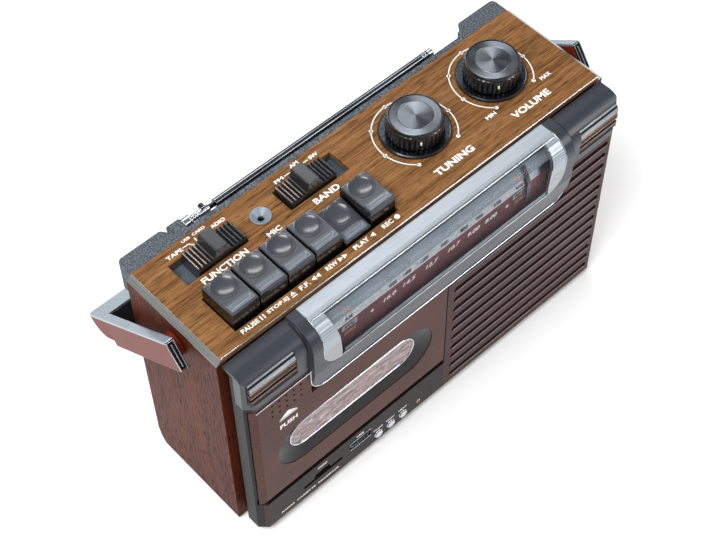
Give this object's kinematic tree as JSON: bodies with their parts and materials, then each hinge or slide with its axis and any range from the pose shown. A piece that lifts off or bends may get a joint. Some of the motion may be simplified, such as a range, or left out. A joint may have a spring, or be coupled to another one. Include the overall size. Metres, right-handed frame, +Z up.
{
  "type": "portable radio cassette recorder",
  "caption": "Portable radio and cassette recorder in a wood-veneered cabinet, with piano keys, slide switches, turning knobs, a telescopic antenna and a folding handle.",
  "frame": {"origin": "centre of the footprint on the surface that the feet stand on, halfway along the depth with the handle folded back", "axes": "+X to the right of somebody facing the front, +Y from the front to the back, +Z up"},
  "size_m": [0.288, 0.1192, 0.1716],
  "materials": {
    "side_veneer": "satin veneer",
    "base_wood": "plain",
    "bright_strip": "polished",
    "top_veneer": "satin veneer",
    "foot_rubber": "plain",
    "case_brown": "satin",
    "cloth_black": "woven",
    "gunmetal": "painted satin",
    "clear_lens": "clear",
    "dial_plate": "printed",
    "pointer_red": "gloss",
    "bright_trim": "polished",
    "door_brown": "satin",
    "door_pane": "clear",
    "holder_black": "satin",
    "panel_black": "satin",
    "button_bright": "polished",
    "socket_steel": "bright",
    "deck_steel": "zinc plated",
    "reel_white": "satin",
    "brass": "turned",
    "motor_steel": "plated",
    "belt_rubber": "plain",
    "key_plastic": "gloss",
    "shaft_steel": "turned",
    "knob_metal": "spun",
    "speaker_black": "black",
    "board_green": "soldered",
    "rear_grey": "speckled",
    "antenna_chrome": "polished",
    "handle_brown": "satin",
    "handle_black": "satin",
    "handle_silver": "brushed"
  },
  "bodies": {
    "cabinet": {"side_panel_left": "side_veneer", "side_panel_right": "side_veneer", "base_board": "base_wood", "edge_strips": "bright_strip", "top_panel": "top_veneer", "feet": "foot_rubber", "front_cabinet": "case_brown", "speaker_cloth": "cloth_black", "dial_bezel": "gunmetal", "dial_window": "clear_lens", "dial_scale": "dial_plate", "front_trims": "bright_trim", "media_panel": "panel_black", "media_sockets": "socket_steel", "deck_chassis": "deck_steel", "deck_motor": "motor_steel", "drive_belt": "belt_rubber", "pivot_pins": "deck_steel", "switch_trays": "holder_black", "mic_jack": "holder_black", "knob_rings": "bright_strip", "rotary_controls": "motor_steel", "speaker": "speaker_black", "electronics": "board_green", "rear_cabinet": "rear_grey", "mains_inlet": "holder_black", "antenna_socket": "antenna_chrome"},
    "pointer": {"dial_pointer": "pointer_red"},
    "door": {"cassette_door": "door_brown", "door_window_frame": "gunmetal", "door_window": "door_pane", "cassette_holder": "holder_black"},
    "button_mode_body": {"button_mode": "button_bright"},
    "button_previous_body": {"button_previous": "button_bright"},
    "button_next_body": {"button_next": "button_bright"},
    "reel_supply_body": {"reel_supply": "reel_white"},
    "reel_takeup_body": {"reel_takeup": "reel_white"},
    "flywheel_body": {"flywheel": "brass"},
    "head": {"head_plate": "deck_steel"},
    "roller": {"pinch_roller": "foot_rubber"},
    "pulley": {"motor_pulley": "brass"},
    "key_pause_body": {"key_pause": "key_plastic"},
    "key_stop_body": {"key_stop": "key_plastic"},
    "key_forward_body": {"key_forward": "key_plastic"},
    "key_rewind_body": {"key_rewind": "key_plastic"},
    "key_play_body": {"key_play": "key_plastic"},
    "key_record_body": {"key_record": "key_plastic"},
    "function_switch": {"function_slider": "key_plastic"},
    "band_switch": {"band_slider": "key_plastic"},
    "tuning": {"tuning_shaft": "shaft_steel", "tuning_knob": "knob_metal"},
    "volume": {"volume_knob": "knob_metal"},
    "battery_door": {"battery_cover": "rear_grey"},
    "antenna_base": {"antenna_knuckle": "antenna_chrome"},
    "antenna_outer": {"antenna_tube_outer": "antenna_chrome"},
    "antenna_middle": {"antenna_tube_middle": "antenna_chrome"},
    "antenna_inner": {"antenna_tube_inner": "antenna_chrome"},
    "handle": {"handle_arms": "handle_brown", "handle_grip": "handle_black", "handle_trim": "handle_silver"}
  },
  "joints": [
    {"name": "handle_swing", "type": "hinge", "parent": "cabinet", "child": "handle", "pos_m": [0, -0.0066, 0.1421], "axis": [1, 0, 0], "range_deg": [0, 126]},
    {"name": "door_swing", "type": "hinge", "parent": "cabinet", "child": "door", "pos_m": [0, -0.0514, 0.0364], "axis": [1, 0, 0], "range_deg": [0, 35]},
    {"name": "battery_cover_swing", "type": "hinge", "parent": "cabinet", "child": "battery_door", "pos_m": [0, 0.0326, 0.0135], "axis": [-1, 0, 0], "range_deg": [0, 90]},
    {"name": "button_mode_press", "type": "slide", "parent": "cabinet", "child": "button_mode_body", "axis": [0, 1, 0], "range_m": [0, 0.0008], "stiffness_N_per_m": 400, "springref_m": -0.0008},
    {"name": "button_previous_press", "type": "slide", "parent": "cabinet", "child": "button_previous_body", "axis": [0, 1, 0], "range_m": [0, 0.0008], "stiffness_N_per_m": 400, "springref_m": -0.0008},
    {"name": "button_next_press", "type": "slide", "parent": "cabinet", "child": "button_next_body", "axis": [0, 1, 0], "range_m": [0, 0.0008], "stiffness_N_per_m": 400, "springref_m": -0.0008},
    {"name": "reel_supply_spin", "type": "hinge", "parent": "cabinet", "child": "reel_supply_body", "pos_m": [-0.08275, -0.04, 0.0725], "axis": [0, 1, 0], "continuous": true},
    {"name": "reel_takeup_spin", "type": "hinge", "parent": "cabinet", "child": "reel_takeup_body", "pos_m": [-0.04025, -0.04, 0.0725], "axis": [0, 1, 0], "continuous": true},
    {"name": "flywheel_spin", "type": "hinge", "parent": "cabinet", "child": "flywheel_body", "pos_m": [-0.0335, -0.03, 0.0923], "axis": [0, 1, 0], "continuous": true},
    {"name": "pulley_spin", "type": "hinge", "parent": "cabinet", "child": "pulley", "pos_m": [-0.0955, -0.03, 0.101], "axis": [0, 1, 0], "continuous": true},
    {"name": "head_lift", "type": "slide", "parent": "cabinet", "child": "head", "axis": [0, 0, 1], "range_m": [0, 0.006]},
    {"name": "roller_spin", "type": "hinge", "parent": "head", "child": "roller", "pos_m": [-0.0335, -0.042, 0.1], "axis": [0, 1, 0], "continuous": true},
    {"name": "key_pause_press", "type": "hinge", "parent": "cabinet", "child": "key_pause_body", "pos_m": [0, 0.0257, 0.153], "axis": [1, 0, 0], "range_deg": [0, 7.5], "stiffness_Nm_per_rad": 0.8, "springref_deg": -6.88},
    {"name": "key_stop_press", "type": "hinge", "parent": "cabinet", "child": "key_stop_body", "pos_m": [0, 0.0257, 0.153], "axis": [1, 0, 0], "range_deg": [0, 7.5], "stiffness_Nm_per_rad": 0.8, "springref_deg": -6.88},
    {"name": "key_forward_press", "type": "hinge", "parent": "cabinet", "child": "key_forward_body", "pos_m": [0, 0.0257, 0.153], "axis": [1, 0, 0], "range_deg": [0, 7.5], "stiffness_Nm_per_rad": 0.8, "springref_deg": -6.88},
    {"name": "key_rewind_press", "type": "hinge", "parent": "cabinet", "child": "key_rewind_body", "pos_m": [0, 0.0257, 0.153], "axis": [1, 0, 0], "range_deg": [0, 7.5], "stiffness_Nm_per_rad": 0.8, "springref_deg": -6.88},
    {"name": "key_play_press", "type": "hinge", "parent": "cabinet", "child": "key_play_body", "pos_m": [0, 0.0257, 0.153], "axis": [1, 0, 0], "range_deg": [-7.5, 0]},
    {"name": "key_record_press", "type": "hinge", "parent": "cabinet", "child": "key_record_body", "pos_m": [0, 0.0257, 0.153], "axis": [1, 0, 0], "range_deg": [0, 7.5], "stiffness_Nm_per_rad": 0.8, "springref_deg": -6.88},
    {"name": "function_slide", "type": "slide", "parent": "cabinet", "child": "function_switch", "axis": [1, 0, 0], "range_m": [-0.0076, 0]},
    {"name": "band_slide", "type": "slide", "parent": "cabinet", "child": "band_switch", "axis": [1, 0, 0], "range_m": [0, 0.0076]},
    {"name": "tuning_turn", "type": "hinge", "parent": "cabinet", "child": "tuning", "pos_m": [0.0332, 0.0014, 0.1584], "axis": [0, 0, 1], "range_deg": [-26, 274]},
    {"name": "pointer_travel", "type": "slide", "parent": "cabinet", "child": "pointer", "axis": [1, 0, 0], "range_m": [-0.1372, 0.0131]},
    {"name": "volume_turn", "type": "hinge", "parent": "cabinet", "child": "volume", "pos_m": [0.0898, 0.0014, 0.1584], "axis": [0, 0, 1], "range_deg": [-283, 0]},
    {"name": "antenna_swivel", "type": "hinge", "parent": "cabinet", "child": "antenna_base", "pos_m": [-0.0926, 0.0388, 0.154], "axis": [1, 0, 0], "range_deg": [-90, 0]},
    {"name": "antenna_tilt", "type": "hinge", "parent": "antenna_base", "child": "antenna_outer", "pos_m": [-0.0776, 0.0388, 0.154], "axis": [0, -1, 0], "range_deg": [0, 90]},
    {"name": "antenna_extend_middle", "type": "slide", "parent": "antenna_outer", "child": "antenna_middle", "axis": [1, 0, 0], "range_m": [0, 0.135]},
    {"name": "antenna_extend_inner", "type": "slide", "parent": "antenna_middle", "child": "antenna_inner", "axis": [1, 0, 0], "range_m": [0, 0.135]}
  ],
  "couplings": [
    {"joint": "head_lift", "follows": "key_play_press", "m_per_rad": -0.0458},
    {"joint": "pulley_spin", "follows": "flywheel_spin", "ratio": 4.75},
    {"joint": "pointer_travel", "follows": "tuning_turn", "m_per_rad": -0.02865}
  ]
}
